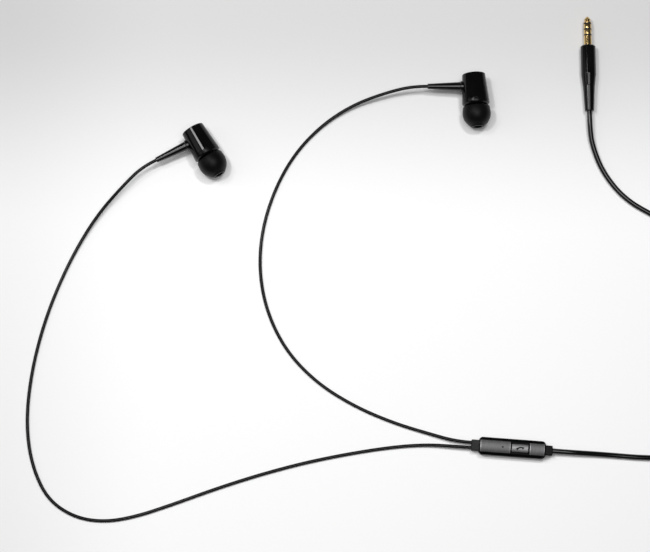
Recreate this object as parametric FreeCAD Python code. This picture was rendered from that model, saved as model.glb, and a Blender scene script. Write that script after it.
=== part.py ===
import FreeCAD, Part
import math
import os

# Wired in-ear earphones lying on a table, in millimetres. X runs to the right, Y away from the
# viewer and Z up, and the table is the plane z = 0. The origin lies on the table, in the middle of
# the box round the two earbuds and the remote.

V = FreeCAD.Vector
X_AXIS = V(1, 0, 0)
Y_AXIS = V(0, 1, 0)
Z_AXIS = V(0, 0, 1)

# Clearances
slip = 0.05                       # round a piece that sits still in its seat
coil_gap = 0.15                   # each side of a voice coil in its magnet gap
ease = 0.3                        # round a piece that moves or is soft
past = 1.0                        # how far a cut runs past the piece it goes through
quarter_round = 1 - math.sqrt(0.5)   # a rounded corner's middle, as a share of its radius

# Cords
branch_radius = 0.75
main_radius = 1.2
exit_run = 7.0                    # straight cord in front of an earbud or of the splitter
collar_exit_run = 9.0             # straight cord behind the remote
plug_exit_run = 8.0               # straight cord in front of the plug's sleeve
coil_exit_run = 11.6              # straight cord beyond each end of the coil
arc_share = 0.45                  # of the shorter run that a bend's arc takes up

# Where the pieces lie on the table, as (x, y) and a heading from +X in degrees
left_bud_place = (-72.6, 62.0)
left_bud_heading = -59.5
right_bud_place = (56.2, 87.7)
right_bud_heading = -86.3
remote_place = (71.4, -83.1)
remote_heading = -4.3
plug_place = (109.5, 71.2)        # rear end of the plug's sleeve; the plug points along +Y
coil_place = (159.8, -38.0)

# Driver inside an earbud, back to front
driver_radius = 5.0
driver_board_thickness = 0.45
yoke_floor = 0.5
yoke_wall = 0.4
magnet_radius = 2.1
magnet_thickness = 1.0
pole_thickness = 0.5
coil_wall = 0.3
coil_depth = 1.4
coil_stands_out = 0.4             # voice coil past the pole plate, to the diaphragm
diaphragm_thickness = 0.15
roll_rise = 0.21                  # of the diaphragm's rolled edge
dome_rise = 0.45
coil_travel = 0.15
frame_wall = 0.45
frame_flange = 0.6
grille_thickness = 0.3
grille_hole_radius = 0.625
grille_hole_count = 6             # in a ring round the middle hole

# Housing of an earbud
front_wall = 1.2
rear_taper = 0.95                 # the barrel's radius grows by this from back to front
rear_wall = 1.3
cap_ledge = 0.6
cap_thickness = 1.2
cap_sink = 0.12
cap_edge = 0.2                    # bevel of the cap's rim and of the groove in its face
cap_groove_share = 0.72           # the groove's radius over the cap's radius
barrel_edge = 0.4
chamber_gap = 0.35
cover_straight = 1.5              # front cover from its seam to its bevel
cover_bevel = 0.85
funnel_back = 0.5                 # the funnel inside starts behind the bevel by this
funnel_front = 0.2                # and ends behind the cover's front face by this
nozzle_radius = 2.55
nozzle_wall = 0.75
nozzle_length = 4.8
ridge_height = 0.2
ridge_width = 0.7
ridge_from_end = 0.8
mesh_thickness = 0.2
mesh_hole_radius = 0.19
mesh_hole_pitch = 0.62

# Strain relief of an earbud
relief_from_rear = 5.8
relief_lean = 4.0                 # degrees that it leans back from square
relief_root_radius = 2.1
relief_end_wall = 0.45
relief_length = 15.25
relief_flange_step = 0.25
relief_flange_thickness = 0.65
knot_radius = 1.15
wire_radius = 0.18

# Ear tip
tip_radius = 6.45
tip_rim_radius = 6.05
tip_end_radius = 3.0
tip_channel_radius = 2.0
tip_sleeve_wall = 0.75
tip_skirt = 0.6
tip_rim_overhang = 0.4            # the sleeve stands behind the rim by this
tip_widest = 3.3                  # from the sleeve's back end to the widest ring
tip_length = 9.7
tip_lip = 0.3

# Remote
remote_length = 29.5
remote_width = 7.8
remote_corner = 1.5
remote_inner_corner = 0.3
remote_end_wall = 1.1
remote_side_wall = 1.0
remote_floor = 0.9
remote_split = 2.4                # height of the seam between the shells
remote_edge = 0.5
crown_radius = 7.0
deck_thickness = 0.55
board_rib = 0.3                   # height of the ribs under the board
board_rib_width = 0.8
board_thickness = 0.6
pad_from_end = 1.0                # from a solder pad to the board's end
plate_thickness = 0.45
plate_end_margin = 0.45           # from a plate's outer end to the remote's end
plate_side_margin = 1.3
microphone_from_middle = -4.3
microphone_size = (3.0, 2.2, 1.0)
microphone_port_radius = 0.4
gasket_thickness = 0.4
gasket_wall = 0.6
button_from_middle = 3.4
button_length = 7.4
button_side_gap = 0.9             # between the button and the well's side
button_cap = 1.05
button_travel = 0.3
button_rest_gap = 0.1             # left under the cap when it is pressed
button_crown_radius = 4.0
stem_radius = 0.8
well_side_margin = 1.2
switch_size = (3.2, 3.0, 0.9)
dome_radius = 1.2
dome_height = 0.3
dome_sheet = 0.1
collar_height = 3.6
collar_edge = 0.5
splitter_length = 3.3
splitter_width = 4.9
branch_spacing = 2.3
cable_collar_length = 3.2
cable_collar_width = 4.5
collar_raise = 0.3                # of the collars over the middle of the remote's cavity
neck_side = 0.3                   # rubber beside a cord inside a collar's neck
flange_lip = 0.4
flange_thickness = 0.65

# Plug
sleeve_length = 11.8
sleeve_rear_radius = 2.1
sleeve_front_radius = 2.75
sleeve_neck = 2.2
sleeve_flange = 0.95
sleeve_flange_step = 0.45
sleeve_edge = 0.3
cord_pocket = 2.0                 # depth of the cord's seat in the core
plug_radius = 3.45
plug_cone = 5.5
plug_barrel = 13.6
plug_chamfer = 0.5
plug_wall = 1.0
pin_radius = 1.75
pin_length = 14.0
pin_root = 6.5                    # pin inside the plug's core
pin_rod_radius = 0.45
pin_layer = 0.18                  # wall of each inner tube and insulator
tip_contact_length = 3.2
ring_contact_length = 2.1
insulator_length = 0.6
tip_rim = 0.35                    # full width behind the tip's groove
tip_groove_radius = 1.25
tip_groove_width = 0.35
tip_groove_slope = 0.45
tip_shoulder_radius = 1.65
tip_point_radius = 0.55
tip_point_edge = 0.25

# Coil of spare cord, wound inwards on the table and outwards on top
coil_turns = 7
coil_mid_radius = 13.5
coil_pitch = 2.9
coil_layer_pitch = 2.86
coil_lift = 0.8                   # under the coil, where the tie passes
coil_tail = 2.4                   # straight end of the coil
tie_width = 3.0
tie_thickness = 0.5
tie_room = 0.45                   # between the tie and the cord beside it

# The cords' routes over the table between their straight ends, chosen by hand
left_route = [
    (-103.5, 36.3, 5.0), (-115.0, 23.7, 2.6), (-124.5, 8.6, 1.0), (-132.4, -8.2, 0.75),
    (-138.8, -26.0, 0.75), (-143.4, -45.0, 0.75), (-145.7, -64.0, 0.75), (-145.1, -80.0, 0.75),
    (-141.6, -94.0, 0.75), (-135.1, -106.1, 0.75), (-123.7, -113.6, 0.75), (-110.7, -115.8, 0.75),
    (-96.7, -113.6, 0.75), (-79.7, -108.0, 0.75), (-61.2, -101.3, 0.75), (-42.2, -95.2, 0.75),
    (-22.2, -89.8, 0.75), (-2.2, -85.7, 0.75), (17.8, -82.6, 0.75), (33.3, -81.5, 1.1)]
right_route = [
    (15.4, 79.2, 5.0), (0.6, 74.1, 2.6), (-13.2, 65.3, 1.0), (-25.6, 52.2, 0.75),
    (-34.8, 35.6, 0.75), (-40.6, 16.8, 0.75), (-42.0, -2.0, 0.75), (-38.6, -21.0, 0.75),
    (-29.8, -39.1, 0.75), (-16.0, -53.6, 0.75), (0.8, -64.2, 0.75), (18.8, -71.9, 0.75),
    (35.8, -77.0, 1.1)]
main_route_from_remote = [
    (111.8, -85.9, 1.3), (131.8, -87.6, 1.2), (150.8, -87.2, 1.2), (167.3, -79.5, 1.2),
    (176.4, -64.5, 1.4)]
main_route_to_plug = [
    (174.6, -8.8, 2.8), (165.8, 4.2, 1.3), (153.0, 14.6, 1.2), (138.6, 22.3, 1.2),
    (125.1, 30.2, 1.2), (115.4, 42.4, 1.3), (110.7, 55.0, 1.9)]

pieces = {}


def box(low_x, high_x, low_y, high_y, low_z, high_z):
    return Part.makeBox(high_x - low_x, high_y - low_y, high_z - low_z, V(low_x, low_y, low_z))


def rounded_slab(length, width, corner, low_z, high_z):
    """A slab centred on the Z axis, with its upright edges rounded."""
    slab = box(-length / 2, length / 2, -width / 2, width / 2, low_z, high_z)
    upright = [edge for edge in slab.Edges if edge.BoundBox.ZLength > (high_z - low_z) / 2]
    return slab.makeFillet(corner, upright)


def lathe(points):
    """A solid turned about X. Points are (x, radius); (x, radius, "arc") is a point on an arc."""
    corners = [V(point[0], point[1], 0) for point in points]
    count = len(points)
    edges = []
    index = 0
    while index < count:
        following = (index + 1) % count
        if len(points[following]) == 3:
            end = (index + 2) % count
            edges.append(Part.Arc(corners[index], corners[following], corners[end]).toShape())
            index += 2
        else:
            edges.append(Part.LineSegment(corners[index], corners[following]).toShape())
            index += 1
    return Part.Face(Part.Wire(edges)).revolve(V(0, 0, 0), X_AXIS, 360)


def drop_of_arc(span, drop, part):
    """How far an arc that starts level has dropped after the given part of its span."""
    radius = (span ** 2 + drop ** 2) / (2 * drop)
    return radius - math.sqrt(radius ** 2 - (part * span) ** 2)


def rod(start, end, radius):
    axis = end - start
    return Part.makeCylinder(radius, axis.Length, start, axis)


def moved(shape, placement):
    copy = shape.copy()
    copy.Placement = placement.multiply(copy.Placement)
    return copy


def turned(x, y, z, heading):
    return FreeCAD.Placement(V(x, y, z), FreeCAD.Rotation(Z_AXIS, heading))


# Earbud, along its own X axis from the barrel's rear end to the ear tip
front_radius = driver_radius + slip + front_wall
rear_radius = front_radius - rear_taper
bore_radius = rear_radius - rear_wall
cap_radius = bore_radius + cap_ledge
cap_seat = cap_sink + cap_thickness
relief_flange_radius = relief_root_radius + relief_flange_step
driver_seat = relief_from_rear + relief_flange_radius + chamber_gap
yoke_back = driver_seat + driver_board_thickness
magnet_back = yoke_back + yoke_floor
pole_back = magnet_back + magnet_thickness
pole_front = pole_back + pole_thickness
diaphragm_back = pole_front + coil_stands_out
dome_front = diaphragm_back + dome_rise
grille_back = dome_front + 2 * coil_travel
barrel_length = grille_back + grille_thickness
cover_front = barrel_length + cover_straight + cover_bevel
nozzle_end = cover_front + nozzle_length
coil_inner_radius = magnet_radius + coil_gap
coil_outer_radius = coil_inner_radius + coil_wall
yoke_inner_radius = coil_outer_radius + coil_gap
yoke_radius = yoke_inner_radius + yoke_wall
frame_inner_radius = driver_radius - frame_wall
bud_height = max(tip_radius, front_radius)
relief_reach = front_radius + relief_length
relief_end_radius = branch_radius + relief_end_wall
relief_bore = branch_radius + slip
flange_outer = math.sqrt((bore_radius - slip) ** 2 - relief_flange_radius ** 2)
flange_inner = flange_outer - relief_flange_thickness
knot_centre = flange_inner - slip - knot_radius


def relief_placement():
    """From a piece turned about X to the strain relief's axis, which leaves the bud sideways."""
    return turned(relief_from_rear, 0, 0, -90 - relief_lean)


def barrel():
    slope = (front_radius - rear_radius) / barrel_length
    shell = lathe([
        (0, cap_radius + slip), (0, rear_radius - barrel_edge),
        (quarter_round * barrel_edge, rear_radius - quarter_round * barrel_edge, "arc"),
        (barrel_edge, rear_radius + slope * barrel_edge),
        (barrel_length, front_radius), (barrel_length, driver_radius + slip),
        (driver_seat, driver_radius + slip), (driver_seat, bore_radius),
        (cap_seat, bore_radius), (cap_seat, cap_radius + slip)])
    hole = rod(V(0, 0, 0), V(front_radius + past, 0, 0), relief_root_radius + slip)
    return shell.cut(moved(hole, relief_placement()))


def rear_cap():
    groove = cap_radius * cap_groove_share
    return lathe([
        (cap_sink, 0), (cap_sink, groove - cap_edge), (cap_sink + cap_edge, groove),
        (cap_sink, groove + cap_edge), (cap_sink, cap_radius - cap_edge),
        (cap_sink + cap_edge, cap_radius), (cap_seat, cap_radius), (cap_seat, 0)])


def front_cover():
    bevel_start = barrel_length + cover_straight
    bore = nozzle_radius - nozzle_wall
    mouth = frame_inner_radius
    ridge_front = nozzle_end - ridge_from_end
    ridge_back = ridge_front - ridge_width
    seat_radius = nozzle_radius - nozzle_wall / 2
    mesh_seat = nozzle_end - 2 * mesh_thickness
    return lathe([
        (barrel_length, mouth), (barrel_length, front_radius), (bevel_start, front_radius),
        (cover_front, front_radius - cover_bevel), (cover_front, nozzle_radius),
        (ridge_back, nozzle_radius), (ridge_back + ridge_height, nozzle_radius + ridge_height),
        (ridge_front - ridge_height, nozzle_radius + ridge_height), (ridge_front, nozzle_radius),
        (nozzle_end, nozzle_radius), (nozzle_end, seat_radius), (mesh_seat, seat_radius),
        (mesh_seat, bore), (cover_front - funnel_front, bore), (bevel_start - funnel_back, mouth)])


def nozzle_mesh():
    seat_radius = nozzle_radius - nozzle_wall / 2
    back = nozzle_end - 2 * mesh_thickness
    disc = lathe([(back, 0), (back, seat_radius - slip), (back + mesh_thickness, seat_radius - slip),
                  (back + mesh_thickness, 0)])
    bore = nozzle_radius - nozzle_wall
    rows = int(bore / mesh_hole_pitch) + 1
    holes = []
    for row in range(-rows, rows + 1):
        for column in range(-rows, rows + 1):
            y = (column + 0.5 * (row % 2)) * mesh_hole_pitch
            z = row * mesh_hole_pitch * math.sqrt(0.75)
            if math.hypot(y, z) + mesh_hole_radius < bore:
                holes.append(rod(V(back - past, y, z), V(nozzle_end, y, z), mesh_hole_radius))
    return disc.cut(Part.makeCompound(holes))


def driver_frame():
    rim_back = diaphragm_back - ease + slip
    return lathe([
        (driver_seat, yoke_radius + slip), (driver_seat, driver_radius),
        (grille_back, driver_radius), (grille_back, frame_inner_radius),
        (rim_back, frame_inner_radius), (rim_back, frame_inner_radius - frame_wall),
        (driver_seat + frame_flange, frame_inner_radius - frame_wall),
        (driver_seat + frame_flange, yoke_radius + slip)])


def driver_board():
    return lathe([(driver_seat, 0), (driver_seat, yoke_radius), (yoke_back, yoke_radius),
                  (yoke_back, 0)])


def yoke():
    return lathe([
        (yoke_back, 0), (yoke_back, yoke_radius), (pole_front, yoke_radius),
        (pole_front, yoke_inner_radius), (magnet_back, yoke_inner_radius), (magnet_back, 0)])


def magnet():
    return lathe([(magnet_back, 0), (magnet_back, magnet_radius), (pole_back, magnet_radius),
                  (pole_back, 0)])


def pole_plate():
    return lathe([(pole_back, 0), (pole_back, magnet_radius), (pole_front, magnet_radius),
                  (pole_front, 0)])


def voice_coil():
    back = diaphragm_back - coil_depth
    return lathe([
        (back, coil_inner_radius), (back, coil_outer_radius), (diaphragm_back, coil_outer_radius),
        (diaphragm_back, coil_inner_radius)])


def diaphragm():
    edge = frame_inner_radius - slip
    roll_outer = edge - frame_wall
    roll_middle = (coil_outer_radius + roll_outer) / 2
    rise = dome_rise - diaphragm_thickness
    half_way = rise - drop_of_arc(coil_inner_radius, rise, 0.5)
    back = diaphragm_back
    front = diaphragm_back + diaphragm_thickness
    return lathe([
        (back + rise, 0), (back + half_way, coil_inner_radius / 2, "arc"), (back, coil_inner_radius),
        (back, coil_outer_radius), (back + roll_rise, roll_middle, "arc"), (back, roll_outer),
        (back, edge), (front, edge), (front, roll_outer),
        (front + roll_rise, roll_middle, "arc"), (front, coil_outer_radius),
        (front, coil_inner_radius), (front + half_way, coil_inner_radius / 2, "arc"),
        (front + rise, 0)])


def driver_grille():
    disc = lathe([(grille_back, 0), (grille_back, driver_radius), (barrel_length, driver_radius),
                  (barrel_length, 0)])
    ring = driver_radius / 2
    centres = [(0, 0)]
    for number in range(grille_hole_count):
        angle = 2 * math.pi * number / grille_hole_count
        centres.append((ring * math.cos(angle), ring * math.sin(angle)))
    holes = [rod(V(grille_back - past, y, z), V(barrel_length + past, y, z), grille_hole_radius)
             for y, z in centres]
    return disc.cut(Part.makeCompound(holes))


def strain_relief():
    sleeve = lathe([
        (flange_inner, relief_bore), (flange_inner, relief_flange_radius),
        (flange_outer, relief_flange_radius), (flange_outer, relief_root_radius),
        (front_radius, relief_root_radius), (relief_reach, relief_end_radius),
        (relief_reach, relief_bore)])
    return moved(sleeve, relief_placement())


def cord_knot():
    neck = knot_centre + math.sqrt(knot_radius ** 2 - branch_radius ** 2)
    knotted = lathe([
        (knot_centre - knot_radius, 0), (knot_centre, knot_radius, "arc"), (neck, branch_radius),
        (relief_reach, branch_radius), (relief_reach, 0)])
    return moved(knotted, relief_placement())


def lead_wires():
    knot = relief_placement().multVec(V(knot_centre, 0, 0))
    wires = []
    for side in (-1, 1):
        pad = V(driver_seat, knot.y / 2, side * yoke_radius / 2)
        along = pad - knot
        along.normalize()
        start = knot + along * (knot_radius + slip / 2)
        wires.append(rod(start, pad - along * (wire_radius / 2), wire_radius))
    return Part.makeCompound(wires)


def ear_tip():
    back = cover_front + ease
    bore = nozzle_radius + ridge_height + 2 * slip
    sleeve = bore + tip_sleeve_wall
    seat = nozzle_end + ease
    rim = back + tip_rim_overhang
    widest = back + tip_widest
    front = back + tip_length
    dome = front - tip_lip - widest
    inner_rim = tip_rim_radius - tip_skirt
    inner_widest = tip_radius - tip_skirt
    fold = widest + 0.5 * dome
    fold_middle = drop_of_arc(fold - widest, inner_widest - sleeve, 0.6)
    skirt_middle = drop_of_arc(widest - rim, tip_radius - tip_rim_radius, 0.5)
    dome_middle = drop_of_arc(dome, tip_radius - tip_end_radius, 0.6)
    return lathe([
        (back, bore), (back, sleeve), (fold, sleeve),
        (widest + 0.6 * (fold - widest), inner_widest - fold_middle, "arc"), (widest, inner_widest),
        (rim, inner_rim), (rim, tip_rim_radius), ((rim + widest) / 2, tip_radius - skirt_middle, "arc"),
        (widest, tip_radius), (widest + 0.6 * dome, tip_radius - dome_middle, "arc"),
        (front - tip_lip, tip_end_radius), (front, tip_end_radius - tip_lip),
        (front, tip_channel_radius), (seat, tip_channel_radius), (seat, bore)])


def add_bud(side, place, heading):
    """Adds one earbud's pieces and returns where its cord leaves it and in which direction."""
    at = turned(place[0], place[1], bud_height, heading)
    makers = (barrel, rear_cap, front_cover, nozzle_mesh, driver_frame, driver_board, yoke, magnet,
              pole_plate, voice_coil, diaphragm, driver_grille, strain_relief, cord_knot,
              lead_wires, ear_tip)
    for make in makers:
        pieces[side + "_" + make.__name__] = moved(make(), at)
    exit_point = at.multVec(relief_placement().multVec(V(relief_reach, 0, 0)))
    direction = at.Rotation.multVec(relief_placement().Rotation.multVec(X_AXIS))
    return exit_point, direction


# Remote, along its own X axis from the splitter to the plug's cord, with its back on the table
board_bottom = remote_floor + board_rib
board_top = board_bottom + board_thickness
ceiling = board_top + microphone_size[2] + gasket_thickness
deck_top = ceiling + deck_thickness
cap_bottom = deck_top + button_travel + button_rest_gap
crown_height = cap_bottom + button_cap
collar_middle = 0.5 * (remote_floor + ceiling) + collar_raise
well_start = button_from_middle - button_length / 2 - ease
well_end = button_from_middle + button_length / 2 + ease
plate_end = remote_length / 2 - plate_end_margin
wall_inside = remote_length / 2 - remote_end_wall
side_inside = remote_width / 2 - remote_side_wall
board_width = 2 * (side_inside - ease)
plate_width = remote_width - 2 * plate_side_margin
well_width = remote_width - 2 * well_side_margin
button_width = well_width - 2 * button_side_gap
splitter_neck_half = branch_spacing / 2 + branch_radius + neck_side
cable_neck_half = main_radius + neck_side
neck_bottom = collar_middle - main_radius - neck_side
neck_top = collar_middle + main_radius + neck_side
board_length = 2 * (wall_inside - flange_thickness - 2 * ease)
switch_top = board_top + switch_size[2]
stem_bottom = switch_top + dome_height + slip


def lengthwise_cylinder(radius, top):
    """A long cylinder along X whose highest line is at the given height."""
    return rod(V(-remote_length, 0, top - radius), V(remote_length, 0, top - radius), radius)


def remote_cavity():
    return rounded_slab(2 * wall_inside, 2 * side_inside, remote_inner_corner, remote_floor, ceiling)


def neck_openings():
    openings = []
    for end, half_width in ((-1, splitter_neck_half), (1, cable_neck_half)):
        low, high = sorted((end * (remote_length / 2 + past), end * (wall_inside - past)))
        openings.append(box(low, high, -half_width - slip, half_width + slip,
                            neck_bottom - slip, neck_top + slip))
    return Part.makeCompound(openings)


def remote_back_shell():
    body = rounded_slab(remote_length, remote_width, remote_corner, 0, remote_split)
    under = [edge for edge in body.Edges if edge.BoundBox.ZMax < remote_edge / 2]
    body = body.makeFillet(remote_edge, under)
    shell = body.cut(remote_cavity()).cut(neck_openings())
    for x in (-board_length / 3, 0, board_length / 3):
        rib = box(x - board_rib_width / 2, x + board_rib_width / 2, -side_inside, side_inside,
                  remote_floor, board_bottom)
        shell = shell.fuse(rib)
    return shell.removeSplitter()


def plate_recess(start, end, half_width, depth):
    """The space over a cylinder that lies the given depth under the crown."""
    block = box(start, end, -half_width, half_width, remote_split, crown_height + past)
    return block.cut(lengthwise_cylinder(crown_radius - depth, crown_height - depth))


def remote_front_shell():
    body = rounded_slab(remote_length, remote_width, remote_corner, remote_split, crown_height + past)
    body = body.common(lengthwise_cylinder(crown_radius, crown_height))
    well = box(well_start, well_end, -well_width / 2, well_width / 2, deck_top, crown_height + past)
    half_width = plate_width / 2 + slip
    mic_recess = plate_recess(-plate_end - slip, well_start - ease + slip, half_width,
                              plate_thickness + slip)
    end_recess = plate_recess(well_end + ease - slip, plate_end + slip, half_width,
                              plate_thickness + slip)
    port = rod(V(microphone_from_middle, 0, ceiling - past), V(microphone_from_middle, 0, crown_height),
               microphone_port_radius)
    stem_hole = rod(V(button_from_middle, 0, ceiling - past), V(button_from_middle, 0, crown_height),
                    stem_radius + ease)
    for cut in (remote_cavity(), neck_openings(), well, mic_recess, end_recess, port, stem_hole):
        body = body.cut(cut)
    return body


def face_plate(start, end):
    plate = plate_recess(start, end, plate_width / 2, plate_thickness)
    return plate.common(lengthwise_cylinder(crown_radius, crown_height))


def microphone_plate():
    port = rod(V(microphone_from_middle, 0, ceiling), V(microphone_from_middle, 0, crown_height + past),
               microphone_port_radius)
    return face_plate(-plate_end, well_start - ease).cut(port)


def end_plate():
    return face_plate(well_end + ease, plate_end)


def call_button():
    half_length = button_length / 2
    cap = box(button_from_middle - half_length, button_from_middle + half_length,
              -button_width / 2, button_width / 2, cap_bottom, crown_height + past)
    cap = cap.common(lengthwise_cylinder(button_crown_radius, crown_height))
    stem = rod(V(button_from_middle, 0, stem_bottom), V(button_from_middle, 0, cap_bottom + button_cap / 3),
               stem_radius)
    return cap.fuse(stem).removeSplitter()


def switch_dome():
    rise = dome_height - dome_sheet
    half_way = rise - drop_of_arc(dome_radius, rise, 0.5)
    dome = lathe([
        (0, dome_radius), (half_way, dome_radius / 2, "arc"), (rise, 0), (dome_height, 0),
        (dome_sheet + half_way, dome_radius / 2, "arc"), (dome_sheet, dome_radius)])
    upright = FreeCAD.Placement(V(button_from_middle, 0, switch_top), FreeCAD.Rotation(Y_AXIS, -90))
    return moved(dome, upright)


def centred_block(x, size, bottom):
    return box(x - size[0] / 2, x + size[0] / 2, -size[1] / 2, size[1] / 2, bottom, bottom + size[2])


def switch_base():
    return centred_block(button_from_middle, switch_size, board_top)


def remote_board():
    return centred_block(0, (board_length, board_width, board_thickness), board_bottom)


def microphone():
    return centred_block(microphone_from_middle, microphone_size, board_top)


def microphone_gasket():
    bottom = board_top + microphone_size[2]
    inner = microphone_port_radius + slip
    ring = Part.makeCylinder(inner + gasket_wall, gasket_thickness,
                             V(microphone_from_middle, 0, bottom))
    hole = Part.makeCylinder(inner, gasket_thickness, V(microphone_from_middle, 0, bottom))
    return ring.cut(hole)


def wire_bore(radius):
    """Radius of the bore for the two wires of a cord of the given radius."""
    return radius / 2 + wire_radius + 2 * slip


def collar(end, length, width, neck_half, bores):
    """A rubber collar on one end of the remote, with a neck in the end wall and a flange inside."""
    half = remote_length / 2
    low, high = sorted((end * half, end * (half + length)))
    rubber = box(low, high, -width / 2, width / 2, collar_middle - collar_height / 2,
                 collar_middle + collar_height / 2)
    rubber = rubber.makeFillet(collar_edge, [edge for edge in rubber.Edges
                                             if edge.BoundBox.XLength > length / 2])
    low, high = sorted((end * half, end * wall_inside))
    rubber = rubber.fuse(box(low, high, -neck_half, neck_half, neck_bottom, neck_top))
    low, high = sorted((end * wall_inside, end * (wall_inside - flange_thickness)))
    flange_half = min(neck_half + flange_lip, side_inside - remote_inner_corner)
    rubber = rubber.fuse(box(low, high, -flange_half, flange_half, remote_floor + slip,
                             ceiling - slip))
    for y, radius in bores:
        outside = V(end * (half + length + past), y, collar_middle)
        shoulder = V(end * wall_inside, y, collar_middle)
        inside = V(end * (wall_inside - flange_thickness - past), y, collar_middle)
        rubber = rubber.cut(rod(outside, shoulder, radius + slip))
        rubber = rubber.cut(rod(shoulder, inside, wire_bore(radius)))
    return rubber


def splitter_collar():
    offset = branch_spacing / 2
    return collar(-1, splitter_length, splitter_width, splitter_neck_half,
                  ((offset, branch_radius), (-offset, branch_radius)))


def cable_collar():
    return collar(1, cable_collar_length, cable_collar_width, cable_neck_half,
                  ((0, main_radius),))


def cord_end(end, length, y, radius):
    """The end of a cord's jacket inside a collar, with two wires down to the board."""
    outer = V(end * (remote_length / 2 + length), y, collar_middle)
    inner = V(end * wall_inside, y, collar_middle)
    shape = rod(outer, inner, radius)
    bend_x = end * (wall_inside - flange_thickness)
    pad_x = end * (board_length / 2 - pad_from_end)
    for side in (-1, 1):
        wire_y = y + side * radius / 2
        bend = V(bend_x, wire_y, collar_middle)
        pad = V(pad_x, wire_y, board_top + wire_radius)
        shape = shape.fuse(rod(V(inner.x, wire_y, collar_middle), bend, wire_radius))
        shape = shape.fuse(Part.makeSphere(wire_radius, bend))
        shape = shape.fuse(rod(bend, pad, wire_radius))
    return shape


def remote_cord_ends():
    offset = branch_spacing / 2
    return Part.makeCompound([
        cord_end(-1, splitter_length, offset, branch_radius),
        cord_end(-1, splitter_length, -offset, branch_radius),
        cord_end(1, cable_collar_length, 0, main_radius)])


def add_remote():
    """Adds the remote's pieces and returns the branches' two entries and the main cord's exit."""
    at = turned(remote_place[0], remote_place[1], 0, remote_heading)
    makers = (remote_back_shell, remote_front_shell, microphone_plate, end_plate, call_button,
              switch_dome, switch_base, remote_board, microphone, microphone_gasket,
              splitter_collar, cable_collar, remote_cord_ends)
    for make in makers:
        pieces[make.__name__] = moved(make(), at)
    splitter_end = -remote_length / 2 - splitter_length
    offset = branch_spacing / 2
    left_entry = at.multVec(V(splitter_end, -offset, collar_middle))
    right_entry = at.multVec(V(splitter_end, offset, collar_middle))
    main_exit = at.multVec(V(remote_length / 2 + cable_collar_length, 0, collar_middle))
    return left_entry, right_entry, main_exit, at.Rotation.multVec(X_AXIS)


# Plug, along its own X axis from the sleeve's rear end to the pin's tip
core_back = sleeve_length + sleeve_neck + sleeve_flange + ease
shell_front = sleeve_length + plug_cone + plug_barrel
shell_bore = plug_radius - plug_wall
sleeve_flange_radius = min(sleeve_front_radius - sleeve_flange_step / 2, shell_bore - slip)
sleeve_neck_radius = sleeve_flange_radius - sleeve_flange_step
pin_end = shell_front + pin_length
pin_back = shell_front - pin_root


def plug_strain_relief():
    flange_back = sleeve_length + sleeve_neck
    return lathe([
        (0, main_radius + slip), (0, sleeve_rear_radius - sleeve_edge),
        (quarter_round * sleeve_edge, sleeve_rear_radius - quarter_round * sleeve_edge, "arc"),
        (sleeve_edge, sleeve_rear_radius),
        (sleeve_length, sleeve_front_radius), (sleeve_length, sleeve_neck_radius),
        (flange_back, sleeve_neck_radius), (flange_back, sleeve_flange_radius),
        (flange_back + sleeve_flange, sleeve_flange_radius),
        (flange_back + sleeve_flange, main_radius + slip)])


def plug_shell():
    back = sleeve_length + slip
    neck_end = sleeve_length + sleeve_neck - slip
    return lathe([
        (back, sleeve_neck_radius + slip), (back, sleeve_front_radius + slip),
        (sleeve_length + plug_cone, plug_radius), (shell_front - plug_chamfer, plug_radius),
        (shell_front, plug_radius - plug_chamfer), (shell_front, shell_bore),
        (neck_end, shell_bore), (neck_end, sleeve_neck_radius + slip)])


def plug_core():
    front = shell_front - slip
    pocket_end = core_back + cord_pocket
    pin_seat = contact_layers()[6] + slip
    return lathe([
        (core_back, main_radius + slip), (core_back, shell_bore - slip), (front, shell_bore - slip),
        (front, pin_seat), (pin_back, pin_seat), (pin_back, 0),
        (pocket_end, 0), (pocket_end, main_radius + slip)])


def plug_cord_end():
    return rod(V(0, 0, 0), V(core_back + cord_pocket - slip, 0, 0), main_radius)


def contact_layers():
    """Radii between the pin's nested tubes, from its rod outwards."""
    return [pin_rod_radius + pin_layer * number for number in range(7)]


def band_ends():
    """Where each contact's visible band starts, from the tip backwards."""
    tip_back = pin_end - tip_contact_length
    ring_1_front = tip_back - insulator_length
    ring_1_back = ring_1_front - ring_contact_length
    ring_2_front = ring_1_back - insulator_length
    ring_2_back = ring_2_front - ring_contact_length
    sleeve_front = ring_2_back - insulator_length
    return tip_back, ring_1_front, ring_1_back, ring_2_front, ring_2_back, sleeve_front


def plug_tip_contact():
    tip_back = band_ends()[0]
    groove_start = tip_back + tip_rim + tip_groove_slope
    groove_end = groove_start + tip_groove_width
    return lathe([
        (pin_back + slip, 0), (pin_back + slip, pin_rod_radius), (tip_back, pin_rod_radius),
        (tip_back, pin_radius), (tip_back + tip_rim, pin_radius), (groove_start, tip_groove_radius),
        (groove_end, tip_groove_radius), (groove_end + tip_groove_slope, tip_shoulder_radius),
        (pin_end - tip_point_edge, tip_point_radius), (pin_end, tip_point_radius - tip_point_edge),
        (pin_end, 0)])


def nested_band(inner, outer, back, front):
    """A tube from the pin's back end with a full-width band at its front."""
    start = pin_back + slip
    return lathe([(start, inner), (start, outer), (back, outer), (back, pin_radius),
                  (front, pin_radius), (front, inner)])


def plug_ring_1_contact():
    layers = contact_layers()
    ends = band_ends()
    return nested_band(layers[1], layers[2], ends[2], ends[1])


def plug_ring_2_contact():
    layers = contact_layers()
    ends = band_ends()
    return nested_band(layers[3], layers[4], ends[4], ends[3])


def plug_sleeve_contact():
    layers = contact_layers()
    return nested_band(layers[5], layers[6], shell_front, band_ends()[5])


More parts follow.
